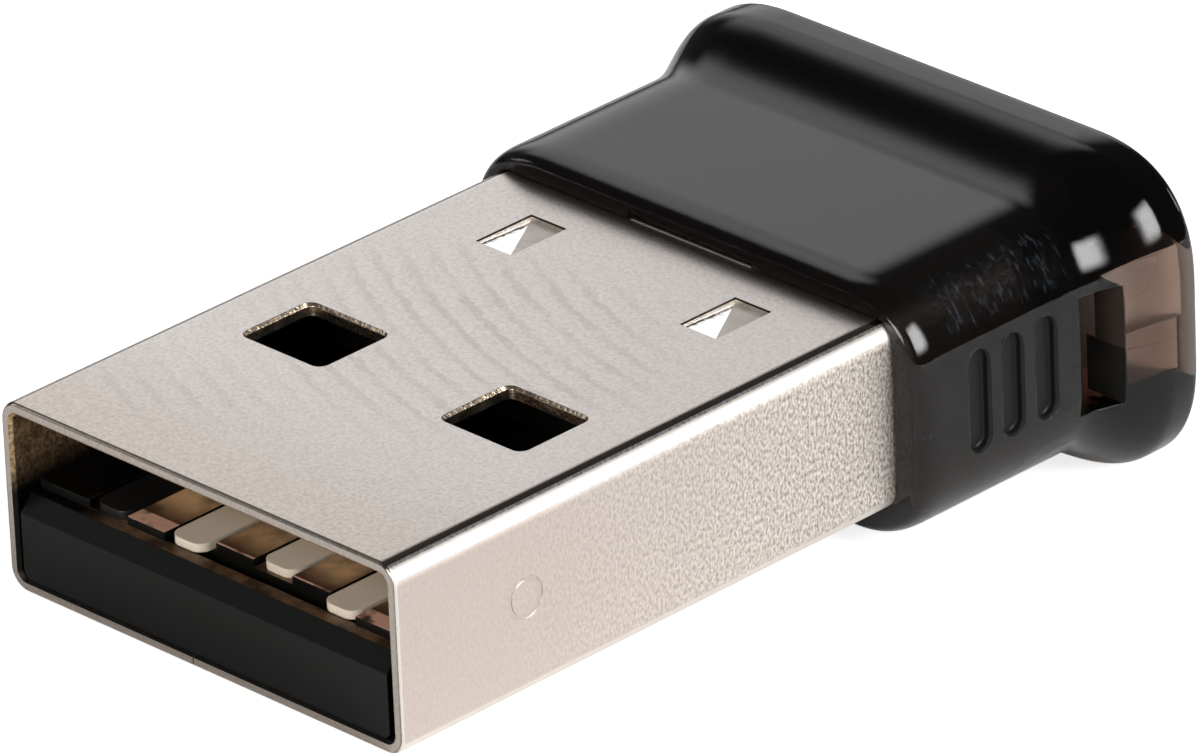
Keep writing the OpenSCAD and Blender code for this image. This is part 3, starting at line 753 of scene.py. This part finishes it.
def groove_cutter(side, y):
    """Upright groove with round ends, a soft floor and a soft rim."""
    face, soft = CAP_W / 2, GROOVE_SOFT
    levels = [(face - GROOVE_DEPTH + soft * (1 - c), -soft * (1 - s)) for s, c in quarter(4)]
    levels += [(face - soft * c, soft * (1 - c) * GROOVE_SPREAD) for s, c in quarter(4)]
    levels.append((face + OVER, soft * GROOVE_SPREAD))
    rings = []
    for x, grow in levels:
        w, h = GROOVE_W + 2 * grow, GROOVE_H + 2 * grow
        rings.append([(side * x, y + py, pz) for py, pz in rounded_outline(w, h, w / 2 - STEP)])
    return loft("groove", rings, [GROOVE])


def slot_cutters():
    """Lanyard slot round the corner post, after dark skins of painted shade on the post's front and the
    inner wall.
    """
    side, back = FLANGE_W / 2 + OVER, TOTAL + OVER
    post_y = SLOT_FRONT + SLOT_L
    step_x = SLOT_OUT_X - POST_STEP
    low, middle, high = SLOT_LOW, -PARTING_DROP, SLOT_HIGH
    return [
        box("post front", (SLOT_OUT_X, post_y - INTO, middle),
            (side, post_y + SLOT_SKIN, high - STEP), [POST_FRONT_SHADE]),
        box("lower post front", (step_x + STEP, post_y - INTO - SLOT_SKIN, low + STEP),
            (side, post_y + 2 * SLOT_SKIN, middle), [POST_FRONT_DEEP_SHADE]),
        box("inner wall", (SLOT_IN_X - SLOT_SKIN, SLOT_FRONT + 5 * STEP, low + 3 * STEP),
            (SLOT_IN_X + INTO, SLOT_FRONT + BACK_WALL_L, high - 3 * STEP), [SLOT_WALL_SHADE]),
        box("mouth", (SLOT_IN_X, SLOT_FRONT, low), (side, post_y, high), [SMOKED]),
        box("upper leg", (SLOT_IN_X, SLOT_FRONT + SLOT_SKIN, middle),
            (SLOT_OUT_X, back, high - 2 * STEP), [SMOKED]),
        box("lower leg", (SLOT_IN_X + STEP, SLOT_FRONT + 2 * SLOT_SKIN, low + 2 * STEP),
            (step_x, back, middle + 2 * SLOT_SKIN), [SMOKED]),
    ]


def housing():
    """Cap with its pocket for the plug, room for the board, rim notch, grooves and lanyard slot."""
    cap = loft("smoked_cap", cap_rings(), [SMOKED])
    gap = SHELL_GAP
    pocket = rounded_outline(PLUG_W + 2 * gap, PLUG_H + 2 * gap, PLUG_CORNER + gap, steps=10)
    room_front = SHELL_LEN + ROOM_GAP
    room_step = SLOT_FRONT - SLOT_WALL
    room_right = SLOT_IN_X - SLOT_WALL
    half_w, half_h = PLUG_W / 2 - SHEET, PLUG_H / 2 + gap
    cut(
        cap,
        loft("pocket", [ring_y(EXPOSED - OVER, pocket), ring_y(room_front, pocket)], [LINER]),
        box("room", (-half_w, room_front - INTO, 2 * STEP - half_h),
            (half_w, room_step, half_h - 2 * STEP), [LINER]),
        box("rear room", (STEP - half_w, room_step - INTO, 4 * STEP - half_h),
            (room_right, TOTAL - REAR_WALL, half_h - 4 * STEP), [LINER]),
        box("notch", (-NOTCH_W / 2, EXPOSED - OVER, PLUG_H / 2 - 2 * OVER),
            (NOTCH_W / 2, EXPOSED + NOTCH_L, PLUG_H / 2 + NOTCH_H), [SMOKED]),
    )
    for i in range(GROOVES):
        for side in (-1, 1):
            cut(cap, groove_cutter(side, EXPOSED + GROOVE_FIRST + i * GROOVE_PITCH))
    cut(cap, *slot_cutters())
    smooth(cap, angle=32)
    present(cap, "smoked_cap", "housing")


plug_shell()
housing()

NODE_SLOTS = {
    "contact_carrier": "carrier_plastic",
    "contact_power": "contact_tin",
    "contact_data_minus": "contact_tin",
    "contact_data_plus": "contact_tin",
    "contact_ground": "contact_tin",
    "circuit_board": "board_laminate",
    "board_pads": "copper",
    "antenna_trace": "copper",
    "radio_chip": "chip_epoxy",
    "memory_chip": "chip_epoxy",
    "voltage_regulator": "chip_epoxy",
    "surge_diode": "chip_epoxy",
    "crystal": "crystal_lid",
    "crystal_capacitors": "capacitor_ceramic",
    "input_capacitor": "capacitor_ceramic",
    "decoupling_capacitors": "capacitor_ceramic",
    "rf_filter": "filter_ceramic",
    "matching_inductor": "inductor_ceramic",
    "status_led": "led_resin",
    "led_resistor": "resistor_film",
    "data_resistors": "resistor_film",
    "ferrite_bead": "ferrite",
    "contact_solder": "solder",
    "shell_solder": "solder",
}
for name, slot in NODE_SLOTS.items():
    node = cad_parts[name]
    node.data.materials.clear()
    node.data.materials.append(NODE_MATERIALS[slot])


# Floor, lights and camera
CAMERA_WHITE, GLOSSY_WHITE, WORLD_GLOW = 0.78, 0.04, 0.07
FLOOR_HALF, FLOOR_GAP, FLANGE_REST = 1500.0, 0.01, 0.2
AIM = Vector((0, 11, 0)) * MM
COOL = (0.96, 0.97, 1)
CAMERA_AT = Vector((182.083, -163.397, 127.252)) * MM
CAMERA_AZIMUTH, CAMERA_ELEVATION, CAMERA_ROLL = 46.0887, 26.7044, -2.4926
CAMERA_SENSOR, CAMERA_LENS = 36.0, 394.65
CAMERA_NEAR, CAMERA_FAR = 0.01, 10.0


def pale_floor():
    """White to the camera together with the lamps' light on it, so the object's shadow stays faintly."""
    s = Shader("floor", Base_Color=(0.8, 0.8, 0.79, 1), Roughness=0.8)
    rays = s.node("LightPath").outputs
    seen = s.math("MAXIMUM", rays["Is Camera Ray"], rays["Is Transmission Ray"])
    seen = s.math("MULTIPLY", seen, CAMERA_WHITE)
    share = s.math("MULTIPLY_ADD", rays["Is Glossy Ray"], GLOSSY_WHITE, seen)
    glow = s.node("MixShader")
    s.link(share, glow.inputs["Fac"])
    for strength, target in ((0.0, glow.inputs[1]), (1.0, glow.inputs[2])):
        s.link(s.node("Emission", Color=(1, 1, 1, 1), Strength=strength).outputs[0], target)
    both = s.node("AddShader")
    s.link(glow.outputs[0], both.inputs[0])
    s.link(s.main.outputs[0], both.inputs[1])
    s.link(both.outputs[0], s.output.inputs["Surface"])
    return s.material


def floor_under():
    """Floor that touches the plug's lower front edge and the flange, as a table would."""
    front = Vector((0, 0, -PLUG_H / 2))
    rear = Vector((0, TOTAL - FLANGE_L + FLANGE_REST, -FLANGE_DROP - FLANGE_H / 2))
    slope = (rear - front).normalized()
    middle = front + Vector((0, slope.z, -slope.y)) * FLOOR_GAP
    corners = [middle + sx * Vector((FLOOR_HALF, 0, 0)) + sy * slope * FLOOR_HALF
               for sx, sy in ((-1, -1), (1, -1), (1, 1), (-1, 1))]
    return mesh_object("floor", corners, [(0, 1, 2, 3)], [pale_floor()])


floor = floor_under()


def direction(azimuth, elevation):
    """Unit vector to a place round the object: azimuth 0 is along -Y, and 90 along +X."""
    a, e = math.radians(azimuth), math.radians(elevation)
    return Vector((math.sin(a) * math.cos(e), -math.cos(a) * math.cos(e), math.sin(e)))


def fade_edges(tree, fade):
    """A lamp's glow falls off towards its edges over the share fade of its width and height."""
    where = tree.nodes.new("ShaderNodeNewGeometry")
    split = tree.nodes.new("ShaderNodeSeparateXYZ")
    tree.links.new(where.outputs["Parametric"], split.inputs["Vector"])
    product = tree.nodes.new("ShaderNodeMath")
    product.operation = "MULTIPLY"
    for i, axis in enumerate(("X", "Y")):
        inward = tree.nodes.new("ShaderNodeMath")
        inward.operation = "PINGPONG"
        inward.inputs[1].default_value = 0.5
        tree.links.new(split.outputs[axis], inward.inputs[0])
        rise = tree.nodes.new("ShaderNodeMapRange")
        rise.interpolation_type = "SMOOTHSTEP"
        rise.inputs["From Max"].default_value = fade
        tree.links.new(inward.outputs[0], rise.inputs["Value"])
        tree.links.new(rise.outputs["Result"], product.inputs[i])
    tree.links.new(product.outputs[0], tree.nodes["Emission"].inputs["Strength"])


def soft_light(name, azimuth, elevation, distance, width, height, watts, fade=0.25, color=(1, 1, 1)):
    """Softbox that faces the object from the distance, in metres."""
    data = bpy.data.lights.new(name, "AREA")
    data.shape = "RECTANGLE"
    data.size, data.size_y = width, height
    data.energy = watts
    data.color = color
    data.use_nodes = True
    fade_edges(data.node_tree, fade)
    lamp = bpy.data.objects.new(name, data)
    towards = direction(azimuth, elevation)
    lamp.location = AIM + towards * distance
    lamp.rotation_mode = "QUATERNION"
    lamp.rotation_quaternion = towards.to_track_quat("Z", "Y")
    bpy.context.scene.collection.objects.link(lamp)


soft_light("rear softbox", azimuth=226, elevation=17, distance=0.7, width=0.62, height=0.52, watts=1.07,
           fade=0.36, color=COOL)
soft_light("key", azimuth=103, elevation=29, distance=0.6, width=0.456, height=0.48, watts=8.5, fade=0.3)
soft_light("end strip", azimuth=163, elevation=13, distance=0.7, width=0.09, height=0.26, watts=0.55,
           fade=0.2)
soft_light("mouth fill", azimuth=14, elevation=22, distance=0.8, width=0.5, height=0.4, watts=5.5)
soft_light("front card", azimuth=45, elevation=18, distance=0.9, width=0.7, height=0.5, watts=0.55)
soft_light("left strip", azimuth=298, elevation=22, distance=0.6, width=0.2, height=0.24, watts=0.3)
soft_light("rear upper", azimuth=240, elevation=40, distance=0.7, width=0.45, height=0.43, watts=0.7,
           fade=0.4, color=COOL)


def studio_world():
    """White to the camera, and dim to everything else."""
    world = bpy.data.worlds.new("studio")
    world.use_nodes = True
    nodes, links = world.node_tree.nodes, world.node_tree.links
    background = nodes["Background"]
    background.inputs["Color"].default_value = (1, 1, 1, 1)
    path = nodes.new("ShaderNodeLightPath")
    strength = nodes.new("ShaderNodeMapRange")
    strength.inputs["To Min"].default_value = WORLD_GLOW
    strength.inputs["To Max"].default_value = 1.0
    links.new(path.outputs["Is Camera Ray"], strength.inputs["Value"])
    links.new(strength.outputs["Result"], background.inputs["Strength"])
    bpy.context.scene.world = world


def photo_camera():
    """Camera that stands where the photo was taken."""
    data = bpy.data.cameras.new("camera")
    data.sensor_width, data.lens = CAMERA_SENSOR, CAMERA_LENS
    data.clip_start, data.clip_end = CAMERA_NEAR, CAMERA_FAR
    camera = bpy.data.objects.new("camera", data)
    a = math.radians(CAMERA_AZIMUTH)
    right = Vector((math.cos(a), math.sin(a), 0))
    back = direction(CAMERA_AZIMUTH, CAMERA_ELEVATION)
    turn = Matrix((right, back.cross(right), back)).transposed().to_4x4()
    roll = Matrix.Rotation(math.radians(CAMERA_ROLL), 4, "Z")
    camera.matrix_world = Matrix.Translation(CAMERA_AT) @ turn @ roll
    bpy.context.scene.collection.objects.link(camera)
    bpy.context.scene.camera = camera


studio_world()
photo_camera()
bpy.context.scene.view_settings.view_transform = "Standard"
